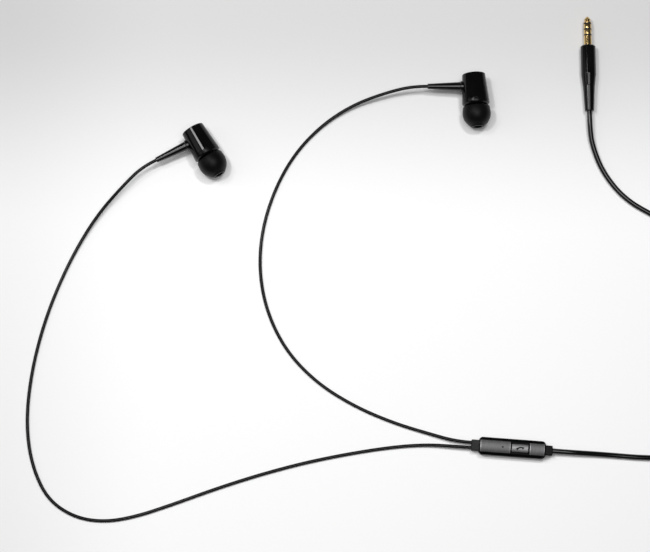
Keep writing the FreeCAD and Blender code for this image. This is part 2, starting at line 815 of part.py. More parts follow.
def plug_insulators():
    layers = contact_layers()
    ends = band_ends()
    return Part.makeCompound([
        nested_band(layers[0], layers[1], ends[1], ends[0]),
        nested_band(layers[2], layers[3], ends[3], ends[2]),
        nested_band(layers[4], layers[5], ends[5], ends[4])])


def add_plug():
    """Adds the plug's pieces and returns where its cord enters it."""
    at = turned(plug_place[0], plug_place[1], plug_radius, 90)
    makers = (plug_strain_relief, plug_shell, plug_core, plug_cord_end, plug_tip_contact,
              plug_ring_1_contact, plug_ring_2_contact, plug_sleeve_contact, plug_insulators)
    for make in makers:
        pieces[make.__name__] = moved(make(), at)
    return at.multVec(V(0, 0, 0))


def arc_by_legs(start, corner, end):
    """The arc that touches both legs of a corner at their outer ends."""
    middle = (start + end) * 0.5
    bend = (start - middle).Length / (start - corner).Length
    summit = middle + (corner - middle) * (bend / (1 + bend))
    return Part.Arc(start, summit, end)


def cord_path(points):
    """Straight runs joined by tangent arcs, and the smallest arc's radius."""
    edges = []
    radii = []
    start = points[0]
    for before, corner, after in zip(points, points[1:], points[2:]):
        into = corner - before
        out = after - corner
        half_turn = into.getAngle(out) / 2
        setback = arc_share * min(into.Length, out.Length)
        radii.append(setback / math.tan(half_turn))
        arc_start = corner - into.normalize() * setback
        arc_end = corner + out.normalize() * setback
        edges.append(Part.LineSegment(start, arc_start).toShape())
        edges.append(arc_by_legs(arc_start, corner, arc_end).toShape())
        start = arc_end
    edges.append(Part.LineSegment(start, points[-1]).toShape())
    return edges, min(radii)


def tube(name, edges, radius, direction, smallest):
    """A round cord swept along its path. Prints its length, tightest arc and volume."""
    path = Part.Wire(edges)
    ring = Part.Circle(edges[0].Vertexes[0].Point, direction, radius)
    solid = path.makePipeShell([Part.Wire([ring.toShape()])], True, False)
    share = solid.Volume / (math.pi * radius ** 2 * path.Length)
    print(f"{name}: {path.Length:.1f} mm long, tightest radius {smallest:.1f} mm, "
          f"volume {share:.4f} of section times length")
    pieces[name] = solid


# Coil
coil_outer = coil_mid_radius + coil_pitch * coil_turns / 4
spiral_turns = coil_turns / 2 - 0.25
coil_bottom = coil_lift + main_radius
coil_top = coil_bottom + coil_layer_pitch


def coil_point(turn):
    """A point of the coil's centre line, so many turns from its start at the coil's right."""
    if turn < spiral_turns:
        radius = coil_outer - coil_pitch * turn
        height = coil_bottom
    elif turn > coil_turns - spiral_turns:
        radius = coil_outer - coil_pitch * (coil_turns - turn)
        height = coil_top
    else:
        climbed = (turn - spiral_turns) / 0.5
        radius = coil_outer - coil_pitch * (spiral_turns + 0.5 * climbed * (1 - climbed))
        height = coil_bottom + (coil_top - coil_bottom) * climbed ** 2 * (3 - 2 * climbed)
    angle = 2 * math.pi * turn
    return V(coil_place[0] + radius * math.cos(angle), coil_place[1] + radius * math.sin(angle),
             height)


def coil_direction(turn):
    if turn in (0, coil_turns):
        return Y_AXIS
    step = 0.001
    direction = coil_point(turn + step) - coil_point(turn - step)
    return direction.normalize()


def biarc(start, leaving, end, arriving):
    """Two arcs that leave the start and reach the end in the given directions."""
    across = end - start
    both = leaving + arriving
    spread = 2 * (1 - leaving.dot(arriving))
    leg = (math.sqrt(across.dot(both) ** 2 + spread * across.dot(across)) - across.dot(both)) / spread
    first_corner = start + leaving * leg
    second_corner = end - arriving * leg
    meeting = (first_corner + second_corner) * 0.5
    return [arc_by_legs(start, first_corner, meeting).toShape(),
            arc_by_legs(meeting, second_corner, end).toShape()]


def add_coil():
    """Adds the coil as one tube and returns its two ends."""
    start = coil_point(0) - Y_AXIS * coil_tail
    end = coil_point(coil_turns) + Y_AXIS * coil_tail
    quarters = [number / 4 for number in range(4 * coil_turns + 1)]
    edges = [Part.LineSegment(start, coil_point(0)).toShape()]
    for turn, following in zip(quarters, quarters[1:]):
        edges += biarc(coil_point(turn), coil_direction(turn),
                       coil_point(following), coil_direction(following))
    edges.append(Part.LineSegment(coil_point(coil_turns), end).toShape())
    smallest = min(edge.Curve.Radius for edge in edges[1:-1])
    tube("main_cord_coil", edges, main_radius, Y_AXIS, smallest)
    print(f"coil: least gap to itself {coil_gap_to_itself():.2f} mm")
    return start, end


def coil_gap_to_itself():
    """The least gap between turns, measured on points of the centre line 10 degrees apart."""
    per_turn = 36
    points = [coil_point(number / per_turn) for number in range(per_turn * coil_turns + 1)]
    least = min(points[a].distanceToPoint(points[b])
                for a in range(len(points)) for b in range(a + per_turn // 2, len(points)))
    return least - 2 * main_radius


def add_tie():
    """A soft band round all the turns, on the coil's left side."""
    inner = coil_outer - coil_pitch * (spiral_turns + 0.125) - main_radius - tie_room
    outer = coil_outer - coil_pitch / 2 + main_radius + tie_room
    low = coil_lift - ease
    high = coil_top + main_radius + ease
    left = coil_place[0] - outer
    right = coil_place[0] - inner
    front = coil_place[1] - tie_width / 2
    back = coil_place[1] + tie_width / 2
    band = box(left - tie_thickness, right + tie_thickness, front, back,
               low - tie_thickness, high + tie_thickness)
    space = box(left, right, front, back, low, high)

    def lengthwise(shape):
        return [edge for edge in shape.Edges if edge.BoundBox.YLength > tie_width / 2]

    band = band.makeFillet(2 * tie_thickness, lengthwise(band))
    space = space.makeFillet(tie_thickness, lengthwise(space))
    pieces["cord_tie"] = band.cut(space)


def points_of(route):
    return [V(*point) for point in route]


def centre_on_own_pieces():
    """Moves all pieces so that the box round the buds and the remote is centred on the origin."""
    own = [name for name in pieces if name.startswith(("left_", "right_", "remote_", "splitter_",
                                                       "cable_", "call_"))
           and name not in ("left_cord", "right_cord")]
    bounds = FreeCAD.BoundBox()
    for name in own:
        bounds.add(pieces[name].optimalBoundingBox())
    shift = V(-bounds.Center.x, -bounds.Center.y, 0)
    print(f"moved by {shift.x:.3f}, {shift.y:.3f} mm to centre the buds and the remote")
    for name, shape in pieces.items():
        pieces[name] = moved(shape, FreeCAD.Placement(shift, FreeCAD.Rotation()))


def build():
    left_exit, left_direction = add_bud("left", left_bud_place, left_bud_heading)
    right_exit, right_direction = add_bud("right", right_bud_place, right_bud_heading)
    left_entry, right_entry, main_exit, along = add_remote()
    plug_entry = add_plug()
    coil_start, coil_end = add_coil()
    add_tie()
    cords = (
        ("left_cord", branch_radius, left_direction,
         [left_exit, left_exit + left_direction * exit_run, *points_of(left_route),
          left_entry - along * exit_run, left_entry]),
        ("right_cord", branch_radius, right_direction,
         [right_exit, right_exit + right_direction * exit_run, *points_of(right_route),
          right_entry - along * exit_run, right_entry]),
        ("main_cord_remote_side", main_radius, along,
         [main_exit, main_exit + along * collar_exit_run, *points_of(main_route_from_remote),
          coil_start - Y_AXIS * coil_exit_run, coil_start]),
        ("main_cord_plug_side", main_radius, Y_AXIS,
         [coil_end, coil_end + Y_AXIS * coil_exit_run, *points_of(main_route_to_plug),
          plug_entry - Y_AXIS * plug_exit_run, plug_entry]))
    for name, radius, direction, points in cords:
        edges, smallest = cord_path(points)
        tube(name, edges, radius, direction, smallest)
    centre_on_own_pieces()
    os.makedirs("parts", exist_ok=True)
    for name, shape in pieces.items():
        if not shape.isValid():
            print("not valid:", name)
        shape.exportStep("parts/" + name + ".step")
    print(len(pieces), "pieces")


build()
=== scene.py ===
import bmesh
import bpy
import math
from mathutils import Matrix, Vector


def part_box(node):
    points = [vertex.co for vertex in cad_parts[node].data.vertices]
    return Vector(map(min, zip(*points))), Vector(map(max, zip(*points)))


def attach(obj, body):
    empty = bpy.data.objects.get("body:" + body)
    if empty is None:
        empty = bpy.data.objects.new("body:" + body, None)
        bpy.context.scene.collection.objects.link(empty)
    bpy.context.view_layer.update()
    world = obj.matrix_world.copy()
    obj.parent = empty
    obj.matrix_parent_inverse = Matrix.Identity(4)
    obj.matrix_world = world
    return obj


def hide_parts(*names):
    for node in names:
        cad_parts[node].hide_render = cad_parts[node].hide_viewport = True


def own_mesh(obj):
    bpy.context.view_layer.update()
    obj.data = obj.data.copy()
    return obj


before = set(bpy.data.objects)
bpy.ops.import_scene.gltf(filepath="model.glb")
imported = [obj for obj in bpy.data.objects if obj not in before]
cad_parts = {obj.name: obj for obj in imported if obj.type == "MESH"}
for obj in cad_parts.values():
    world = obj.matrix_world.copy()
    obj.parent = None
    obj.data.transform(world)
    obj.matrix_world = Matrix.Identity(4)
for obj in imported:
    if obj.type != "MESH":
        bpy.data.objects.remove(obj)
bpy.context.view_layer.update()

# The dressed earphones. Pieces are modelled in millimetres about their own axis and put in place
# when they are finished. The scene is in metres.
MM = 0.001
ROOT = "earphones"
X_AXIS = Vector((1, 0, 0))
Y_AXIS = Vector((0, 1, 0))

# Places on the table, in millimetres, with headings in degrees
bud_places = {"left": (-72.618, 61.985, -59.5), "right": (56.182, 87.685, -86.3)}
remote_place = (71.382, -83.115, -4.3)
plug_place = (109.482, 71.185, 90.0)
coil_centre = Vector((159.782, -38.015, 0))
part_shift = Vector((-0.018, -0.015, 0))   # what the part moves its routes by to centre itself

# Radii of what rests on the table
tip_radius = 6.45
shell_radius = 3.45

# Heights above the table
bud_height = tip_radius
remote_cord_height = 2.35
plug_height = shell_radius

# Cords. An exit run is the straight cord where it leaves something.
branch_radius = 0.75
main_radius = 1.2
exit_run = 7.0
collar_exit_run = 9.0
plug_exit_run = 8.0
coil_exit_run = 11.6
branch_spacing = 2.3        # between the two branches in the splitter

# Earbud, along its axis from the rear end
relief_from_rear = 5.8
relief_lean = 4.0           # of the strain relief from square to the barrel, in degrees
relief_reach = 21.5
front_radius = 6.25
rear_radius = 5.3
barrel_length = 12.4
cover_front = 14.75
nozzle_end = 19.55

# Remote
remote_length = 29.5
remote_width = 7.8
remote_split = 2.4          # height of the seam between the shells
crown_height = 5.2
crown_radius = 7.0
splitter_length = 3.3
cable_collar_length = 3.2


def placed(place, height):
    """The matrix that puts a piece at a place (x, y, heading) and a height, in millimetres."""
    x, y, heading = place
    return Matrix.Translation((x, y, height)) @ Matrix.Rotation(math.radians(heading), 4, "Z")


bud_matrix = {side: placed(place, bud_height) for side, place in bud_places.items()}
relief_turn = (Matrix.Translation((relief_from_rear, 0, 0))
               @ Matrix.Rotation(math.radians(-90 - relief_lean), 4, "Z"))
remote_matrix = placed(remote_place, 0)
plug_matrix = placed(plug_place, plug_height)


# Camera, first of all
def add_camera():
    """The photograph's view: from high up, a little in front of straight above."""
    view_middle = Vector((-0.01202, -0.00502, 0))
    distance = 0.8
    elevation = math.radians(81)
    focal_length = 97.48
    eye = view_middle + distance * Vector((0, -math.cos(elevation), math.sin(elevation)))
    camera = bpy.data.objects.new("camera", bpy.data.cameras.new("camera"))
    camera.data.sensor_width = 36
    camera.data.lens = focal_length
    camera.location = eye
    camera.rotation_euler = (view_middle - eye).to_track_quat("-Z", "Y").to_euler()
    bpy.context.collection.objects.link(camera)
    bpy.context.scene.camera = camera


add_camera()


# Materials
def new_material(name):
    """A material with its nodes, its links and its shader."""
    material = bpy.data.materials.new(name)
    material.use_nodes = True
    nodes = material.node_tree.nodes
    return material, nodes, material.node_tree.links, nodes["Principled BSDF"]


def grain(nodes, links, scale, stretch=(1, 1, 1), heading=0.0):
    """A noise texture on the piece's own coordinates, stretched along a heading on the table."""
    coordinates = nodes.new("ShaderNodeTexCoord")
    mapping = nodes.new("ShaderNodeMapping")
    mapping.inputs["Rotation"].default_value = (0, 0, -math.radians(heading))
    mapping.inputs["Scale"].default_value = stretch
    noise = nodes.new("ShaderNodeTexNoise")
    noise.inputs["Scale"].default_value = scale
    noise.inputs["Detail"].default_value = 3.0
    links.new(coordinates.outputs["Object"], mapping.inputs["Vector"])
    links.new(mapping.outputs["Vector"], noise.inputs["Vector"])
    return noise


def ranged(nodes, links, source, low, high):
    """Maps a noise's middle range to the two given values."""
    spread = nodes.new("ShaderNodeMapRange")
    spread.inputs["From Min"].default_value = 0.3
    spread.inputs["From Max"].default_value = 0.7
    spread.inputs["To Min"].default_value = low
    spread.inputs["To Max"].default_value = high
    links.new(source.outputs["Fac"], spread.inputs["Value"])
    return spread.outputs["Result"]


def shaded(nodes, links, shader, source, shades):
    """Colours the shader between a dark and a light shade, as a noise says."""
    mix = nodes.new("ShaderNodeMix")
    mix.data_type = "RGBA"
    for socket, shade in zip(("A", "B"), shades):
        mix.inputs[socket].default_value = (*shade, 1)
    links.new(ranged(nodes, links, source, 0, 1), mix.inputs["Factor"])
    links.new(mix.outputs["Result"], shader.inputs["Base Color"])


def textured(nodes, links, shader, source, roughness, bump_strength, bump_depth):
    """Varies the shader's polish and surface as a noise says."""
    links.new(ranged(nodes, links, source, *roughness), shader.inputs["Roughness"])
    bump = nodes.new("ShaderNodeBump")
    bump.inputs["Strength"].default_value = bump_strength
    bump.inputs["Distance"].default_value = bump_depth
    links.new(source.outputs["Fac"], bump.inputs["Height"])
    links.new(bump.outputs["Normal"], shader.inputs["Normal"])


def plastic(name, shades, roughness, grain_scale, bump_depth, specular=0.3):
    """Moulded plastic or rubber, with slight unevenness in its colour, polish and surface."""
    material, nodes, links, shader = new_material(name)
    shader.inputs["Specular IOR Level"].default_value = specular
    shaded(nodes, links, shader, grain(nodes, links, scale=160.0), shades)
    fine = grain(nodes, links, grain_scale)
    textured(nodes, links, shader, fine, roughness, bump_strength=0.3, bump_depth=bump_depth)
    return material


def metal(name, shades, roughness, stretch=(1, 1, 1), heading=0.0, scale=900.0,
          bump_depth=0.00001):
    """Metal with fine brush marks along a heading."""
    material, nodes, links, shader = new_material(name)
    shader.inputs["Metallic"].default_value = 1.0
    marks = grain(nodes, links, scale, stretch, heading)
    shaded(nodes, links, shader, marks, shades)
    textured(nodes, links, shader, marks, roughness, bump_strength=0.25, bump_depth=bump_depth)
    return material


# Each pair of shades is a dark and a light one, and each other pair is a range of roughness
housing_shades = ((0.0018, 0.0018, 0.002), (0.003, 0.003, 0.0032))
black_shades = ((0.002, 0.002, 0.0022), (0.0035, 0.0035, 0.0037))
deepest_shades = ((0.001, 0.001, 0.001), (0.002, 0.002, 0.002))
long_brush = (5, 0.25, 0.25)
remote_heading = remote_place[2]

gloss_black = plastic("gloss_black_housing", housing_shades, (0.05, 0.08), 900.0, 0.0000002,
                      specular=0.25)
cover_black = plastic("satin_black_cover", housing_shades, (0.2, 0.24), 900.0, 0.0000002,
                      specular=0.25)
tip_silicone = plastic("ear_tip_silicone", ((0.0015, 0.0015, 0.0017), (0.003, 0.003, 0.0032)),
                       (0.4, 0.48), 2600.0, 0.000006, specular=0.17)
relief_rubber = plastic("strain_relief_rubber", black_shades, (0.06, 0.08), 1400.0, 0.0000001,
                        specular=0.5)
cord_jacket = plastic("cord_jacket", black_shades, (0.05, 0.08), 1800.0, 0.0000002, specular=0.5)
branch_jacket = plastic("branch_jacket", black_shades, (0.05, 0.08), 1800.0, 0.0000002,
                        specular=0.22)
tie_rubber = plastic("tie_rubber", ((0.006, 0.006, 0.006), (0.01, 0.01, 0.01)), (0.5, 0.65),
                     2400.0, 0.00002, specular=0.3)
remote_plastic = plastic("remote_plastic", black_shades, (0.3, 0.36), 2000.0, 0.000002,
                         specular=0.05)
collar_rubber = plastic("collar_rubber", ((0.02, 0.02, 0.0205), (0.032, 0.032, 0.0325)),
                        (0.5, 0.6), 2200.0, 0.00001, specular=0.15)
black_rubber = plastic("black_rubber", ((0.0025, 0.0025, 0.0027), (0.004, 0.004, 0.0044)),
                       (0.3, 0.38), 2200.0, 0.000004, specular=0.08)
plug_plastic = plastic("plug_plastic", black_shades, (0.06, 0.09), 1500.0, 0.0000001,
                       specular=0.35)
mark_paint = plastic("mark_paint", deepest_shades, (0.5, 0.6), 2000.0, 0.000004, specular=0.05)
# A near-black disc that darkens the microphone's hole: painted shade.
microphone_hole_shade = plastic("microphone_hole_shade", deepest_shades, (0.8, 0.9), 3000.0, 0.00001,
                           specular=0.03)
inner_plastic = plastic("inner_plastic", ((0.012, 0.012, 0.012), (0.022, 0.022, 0.022)),
                        (0.45, 0.6), 1500.0, 0.00001)
board_green = plastic("board_green", ((0.02, 0.12, 0.05), (0.035, 0.17, 0.075)), (0.3, 0.45),
                      900.0, 0.00001)
film = plastic("diaphragm_film", ((0.5, 0.45, 0.36), (0.58, 0.53, 0.44)), (0.2, 0.3), 500.0,
               0.000004)
grey_metal = metal("brushed_grey_plates", ((0.15, 0.15, 0.153), (0.24, 0.24, 0.244)),
                   (0.5, 0.58), long_brush, remote_heading, 1400.0)
# Lighter than the plates' metal: a painted highlight along each plate's end, which is also a little
# more polished.
polished_highlight_edge = metal("polished_highlight_edge", ((0.34, 0.34, 0.345), (0.44, 0.44, 0.445)), (0.4, 0.48),
                      long_brush, remote_heading, 1400.0)
button_metal = metal("button_metal", ((0.3, 0.3, 0.305), (0.36, 0.36, 0.365)), (0.46, 0.54),
                     (2, 1, 1), remote_heading, 1200.0)
steel = metal("plain_steel", ((0.42, 0.42, 0.43), (0.56, 0.56, 0.57)), (0.25, 0.38))
mesh_steel = metal("mesh_steel", ((0.16, 0.16, 0.17), (0.26, 0.26, 0.27)), (0.3, 0.42))
nickel = metal("magnet_nickel", ((0.6, 0.59, 0.56), (0.7, 0.69, 0.66)), (0.12, 0.2))
copper = metal("copper_wire", ((0.5, 0.2, 0.1), (0.72, 0.34, 0.2)), (0.22, 0.34), scale=2500.0)
gold = metal("gold_contacts", ((0.72, 0.5, 0.2), (0.8, 0.58, 0.26)), (0.14, 0.2), scale=400.0,
             bump_depth=0.000001)


# Cords, each a NURBS line with the part's route points as its control points
def route(*points):
    """Route points as the part gives them, moved as the part moves them, in metres."""
    return [(Vector(point) + part_shift) * MM for point in points]


def cord_curve(name, points, radius, material):
    """A cord along its control points (in metres), with its radius in millimetres."""
    curve = bpy.data.curves.new(name, "CURVE")
    curve.dimensions = "3D"
    curve.resolution_u = 12
    curve.bevel_depth = radius * MM
    curve.bevel_resolution = 7
    curve.use_fill_caps = True
    spline = curve.splines.new("NURBS")
    spline.points.add(len(points) - 1)
    for control, point in zip(spline.points, points):
        control.co = (*point, 1)
    spline.order_u = 3
    spline.use_endpoint_u = True
    cord = bpy.data.objects.new(name, curve)
    bpy.context.collection.objects.link(cord)
    curve.materials.append(material)
    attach(cord, ROOT)
    return cord


def straight(point, direction, length):
    """The two points of a straight run that starts at a point, in metres."""
    return [point * MM, (point + direction * length) * MM]


def add_branch(side, entry_side, *points):
    """A branch of the cord, from an earbud's strain relief to the splitter."""
    bud = bud_matrix[side] @ relief_turn
    leaving = bud @ Vector((relief_reach, 0, 0))
    direction = (bud.to_3x3() @ X_AXIS).normalized()
    along = (remote_matrix.to_3x3() @ X_AXIS).normalized()
    entry = remote_matrix @ Vector((-remote_length / 2 - splitter_length,
                                    entry_side * branch_spacing / 2, remote_cord_height))
    line = straight(leaving, direction, exit_run) + route(*points)
    line += reversed(straight(entry, -along, exit_run))
    cord = cord_curve(side + "_branch_cord", line, branch_radius, branch_jacket)
    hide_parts(side + "_cord")
    return cord, leaving * MM


left_branch, left_exit = add_branch(
    "left", -1,
    (-103.5, 36.3, 5.0), (-115.0, 23.7, 2.6), (-124.5, 8.6, 1.0), (-132.4, -8.2, 0.75),
    (-138.8, -26.0, 0.75), (-143.4, -45.0, 0.75), (-145.7, -64.0, 0.75), (-145.1, -80.0, 0.75),
    (-141.6, -94.0, 0.75), (-135.1, -106.1, 0.75), (-123.7, -113.6, 0.75), (-110.7, -115.8, 0.75),
    (-96.7, -113.6, 0.75), (-79.7, -108.0, 0.75), (-61.2, -101.3, 0.75), (-42.2, -95.2, 0.75),
    (-22.2, -89.8, 0.75), (-2.2, -85.7, 0.75), (17.8, -82.6, 0.75), (33.3, -81.5, 1.1))

right_branch, right_exit = add_branch(
    "right", 1,
    (15.4, 79.2, 5.0), (0.6, 74.1, 2.6), (-13.2, 65.3, 1.0), (-25.6, 52.2, 0.75),
    (-34.8, 35.6, 0.75), (-40.6, 16.8, 0.75), (-42.0, -2.0, 0.75), (-38.6, -21.0, 0.75),
    (-29.8, -39.1, 0.75), (-16.0, -53.6, 0.75), (0.8, -64.2, 0.75), (18.8, -71.9, 0.75),
    (35.8, -77.0, 1.1))


# The coil of spare cord, wound inwards on the table and outwards on top
coil_turns = 7
coil_pitch = 2.9
coil_mean_radius = 13.5
coil_outer = coil_mean_radius + coil_pitch * coil_turns / 4
coil_bottom = 2.0
coil_climb = 2.86           # from the lower layer of turns to the upper one
coil_tail = 2.4
points_per_turn = 16
spiral_turns = coil_turns / 2 - 0.25   # in each layer, which leaves half a turn for the climb


def coil_point(turn):
    """A control point of the coil, in metres, a little outside the line it makes."""
    left = coil_turns - turn
    if turn < spiral_turns:
        radius = coil_outer - coil_pitch * turn
        climbed = 0
    elif left < spiral_turns:
        radius = coil_outer - coil_pitch * left
        climbed = 1
    else:
        share = 2 * (turn - spiral_turns)
        radius = coil_outer - coil_pitch * (spiral_turns + 0.5 * share * (1 - share))
        climbed = share ** 2 * (3 - 2 * share)
    if 0 < turn < coil_turns:
        radius /= 0.5 + 0.5 * math.cos(math.pi / points_per_turn)
    angle = 2 * math.pi * turn
    height = coil_bottom + coil_climb * climbed
    return (coil_centre + Vector((radius * math.cos(angle), radius * math.sin(angle), height))) * MM


def coil_line():
    """The coil's control points, from its outer end inwards and back out on top."""
    turns = [number / points_per_turn for number in range(points_per_turn * coil_turns + 1)]
    return [coil_point(turn) for turn in turns]


def add_main_cord():
    """The main cord, from the remote's collar through the coil to the plug's strain relief."""
    along = (remote_matrix.to_3x3() @ X_AXIS).normalized()
    leaving = remote_matrix @ Vector((remote_length / 2 + cable_collar_length, 0,
                                      remote_cord_height))
    entry = plug_matrix.translation
    coil = coil_line()
    line = straight(leaving, along, collar_exit_run)
    line += route((111.8, -85.9, 1.3), (131.8, -87.6, 1.2), (150.8, -87.2, 1.2),
                  (167.3, -79.5, 1.2), (176.4, -64.5, 1.4))
    beyond = Y_AXIS * (coil_tail + coil_exit_run) * MM
    line += [coil[0] - beyond] + coil + [coil[-1] + beyond]
    line += route((174.6, -8.8, 2.8), (165.8, 4.2, 1.3), (153.0, 14.6, 1.2), (138.6, 22.3, 1.2),
                  (125.1, 30.2, 1.2), (115.4, 42.4, 1.3), (110.7, 55.0, 1.9))
    line += reversed(straight(entry, -Y_AXIS, plug_exit_run))
    cord = cord_curve("main_cord", line, main_radius, cord_jacket)
    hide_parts("main_cord_remote_side", "main_cord_coil", "main_cord_plug_side")
    return cord, leaving * MM


main_cord, main_exit = add_main_cord()


# Shaping
def rounded(corners, steps=5):
    """An outline with each corner (x, radius, rounding) made a short arc."""
    outline = []
    for number, corner in enumerate(corners):
        here = Vector(corner[:2])
        if len(corner) == 2:
            outline.append(here)
            continue
        back = (Vector(corners[number - 1][:2]) - here).normalized()
        on = (Vector(corners[(number + 1) % len(corners)][:2]) - here).normalized()
        half = back.angle(on) / 2
        setback = corner[2] / math.tan(half)
        centre = here + (back + on).normalized() * (corner[2] / math.sin(half))
        start = here + back * setback - centre
        end = here + on * setback - centre
        for step in range(steps + 1):
            outline.append(centre + start.slerp(end, step / steps).normalized() * corner[2])
    return outline


def crown(start, end, top, side, steps=14):
    """Points of an arc that starts level at the top radius and drops to the side radius."""
    span = end - start
    drop = top - side
    bend = (span ** 2 + drop ** 2) / (2 * drop)
    return [Vector((start + span * step / steps,
                    top - bend + math.sqrt(bend ** 2 - (span * step / steps) ** 2)))
            for step in range(steps + 1)]


def turned(outline, steps=112):
    """A body turned about the X axis from its outline of (x, radius)."""
    body = bmesh.new()
    ring = [body.verts.new((x, radius, 0)) for x, radius in outline]
    edges = [body.edges.new(pair) for pair in zip(ring, ring[1:])]
    if outline[0][1] > 1e-6 or outline[-1][1] > 1e-6:
        edges.append(body.edges.new((ring[-1], ring[0])))
    bmesh.ops.spin(body, geom=ring + edges, cent=(0, 0, 0), axis=(1, 0, 0), angle=2 * math.pi,
                   steps=steps, use_merge=True)
    bmesh.ops.remove_doubles(body, verts=body.verts, dist=1e-5)
    bmesh.ops.recalc_face_normals(body, faces=body.faces)
    return body


def block(low, high):
    """A box between two corners."""
    body = bmesh.new()
    size = Vector(high) - Vector(low)
    bmesh.ops.create_cube(body, size=1)
    bmesh.ops.scale(body, vec=size, verts=body.verts)
    bmesh.ops.translate(body, vec=(Vector(low) + Vector(high)) / 2, verts=body.verts)
    return body


def soften(body, edges, width, segments=4):
    """Rounds the edges."""
    bmesh.ops.bevel(body, geom=edges, offset=width, segments=segments, profile=0.5,
                    affect="EDGES", material=-1, clamp_overlap=True)


def along_axis(edge, axis):
    """Whether an edge runs along an axis (0, 1 or 2)."""
    way = edge.verts[1].co - edge.verts[0].co
    return abs(way[axis]) > 0.999 * way.length


def finished(body, name, place, material, rides=ROOT, nodes=(), sharp=35.0):
    """Makes the body an object in its place, riding on a CAD body and standing for CAD nodes."""
    mesh = bpy.data.meshes.new(name)
    body.to_mesh(mesh)
    body.free()
    mesh.transform(Matrix.Scale(MM, 4) @ place)
    mesh.polygons.foreach_set("use_smooth", [True] * len(mesh.polygons))
    mesh.set_sharp_from_angle(angle=math.radians(sharp))
    mesh.materials.append(material)
    piece = bpy.data.objects.new(name, mesh)
    bpy.context.collection.objects.link(piece)
    normals = piece.modifiers.new("even_normals", "WEIGHTED_NORMAL")
    normals.keep_sharp = True
    normals.weight = 100
    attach(piece, rides)
    if nodes:
        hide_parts(*nodes)
    return piece


# Earbuds. Each outline runs along the axis from the rear end, as (x, radius) or, at a rounded
# corner, (x, radius, rounding).
cap_seat = 1.32
cap_radius = 4.6
driver_seat = 8.5
driver_radius = 5.0
bore_radius = 4.0
slip = 0.05
cover_lip_radius = 4.55
nozzle_radius = 2.55
bead_radius = 2.75
nozzle_bore = 1.8
mesh_seat_radius = 2.175
mesh_seat_depth = 0.4
tip_gap = 0.3               # between the ear tip and the nozzle or the cover
tip_skirt = 0.6
tip_bore = 2.0
sleeve_radius = 3.6
relief_bore = 0.8


def barrel_body():
    """The barrel, wider towards the front, with seats for the rear cap and the driver."""
    return turned(rounded([
        (0, cap_radius + slip, 0.05), (0, rear_radius, 0.4), (barrel_length, front_radius, 0.2),
        (barrel_length, driver_radius + slip), (driver_seat, driver_radius + slip),
        (driver_seat, bore_radius), (cap_seat, bore_radius), (cap_seat, cap_radius + slip)]))


def rear_cap_body():
    """The rear cap, sunk a little into the barrel, with a round groove."""
    sink = 0.12
    groove = 3.31
    half_groove = 0.2
    bottom = 0.34
    return turned([(sink, 0.0)] + rounded([
        (sink, groove - half_groove), (bottom, groove, 0.08), (sink, groove + half_groove),
        (sink, cap_radius, 0.18), (cap_seat, cap_radius)]) + [(cap_seat, 0.0)])


def front_cover_body():
    """The front cover with its bevelled shoulder and the nozzle, which has a bead near its end."""
    seam = 0.07
    back = barrel_length + 0.01
    bevel_start = cover_front - 0.85
    bevel_radius = 5.4
    ridge = nozzle_end - 0.8
    return turned(rounded([
        (back, cover_lip_radius), (back, front_radius - seam),
        (barrel_length + seam, front_radius, 0.05), (bevel_start, front_radius, 0.5),
        (cover_front, bevel_radius, 0.3), (cover_front, nozzle_radius),
        (ridge - 0.7, nozzle_radius), (ridge - 0.5, bead_radius), (ridge - 0.2, bead_radius),
        (ridge, nozzle_radius), (nozzle_end, nozzle_radius, 0.12),
        (nozzle_end, mesh_seat_radius), (nozzle_end - mesh_seat_depth, mesh_seat_radius),
        (nozzle_end - mesh_seat_depth, nozzle_bore), (cover_front - 0.2, nozzle_bore),
        (cover_front - 1.35, cover_lip_radius)]))


def ear_tip_body():
    """The ear tip: a dome that folds back over its sleeve, with an open skirt at the rear."""
    back = cover_front + tip_gap
    widest = back + 3.3
    front = back + 9.7
    mouth = front - 0.3
    mouth_radius = 3.0
    outside = crown(widest, back + 0.4, tip_radius, 6.05, 8)
    outside.reverse()
    dome = crown(widest, mouth, tip_radius, mouth_radius, 24)
    lip = rounded([(mouth, mouth_radius), (front, 2.95, 0.2), (front, tip_bore, 0.15),
                   (back + 8.0, tip_bore)])[1:-1]
    inner = crown(widest, widest + 3.05, tip_radius - tip_skirt, sleeve_radius, 10)
    inner.reverse()
    sleeve = [(nozzle_end + tip_gap, tip_bore), (nozzle_end + tip_gap, 2.85), (back, 2.85),
              (back, sleeve_radius)]
    return turned(outside + dome[1:-2] + lip + [Vector(corner) for corner in sleeve] + inner
                  + [Vector((back + 0.4, 5.45))])


def strain_relief_body():
    """The strain relief, from its root inside the barrel along its collar to its thin end."""
    root = 2.9
    neck_radius = 2.35
    collar_start = 5.55
    collar_end = 6.35
    collar_radius = 2.5
    return turned(rounded([
        (root, relief_bore), (root, neck_radius), (collar_start, neck_radius),
        (collar_start, collar_radius), (collar_end, collar_radius, 0.12), (6.55, 2.1, 0.1),
        (relief_reach, 1.2, 0.16), (relief_reach, relief_bore)]))


for side in ("left", "right"):
    place = bud_matrix[side]
    finished(barrel_body(), side + "_bud_barrel", place, gloss_black,
             nodes=[side + "_barrel"])
    finished(rear_cap_body(), side + "_bud_rear_cap", place, gloss_black,
             nodes=[side + "_rear_cap"])
    finished(front_cover_body(), side + "_bud_front_cover", place, cover_black,
             nodes=[side + "_front_cover"])
    finished(ear_tip_body(), side + "_silicone_tip", place, tip_silicone,
             rides=side + "_ear_tip", nodes=[side + "_ear_tip"], sharp=50.0)
    finished(strain_relief_body(), side + "_cord_relief", place @ relief_turn, relief_rubber,
             nodes=[side + "_strain_relief"])


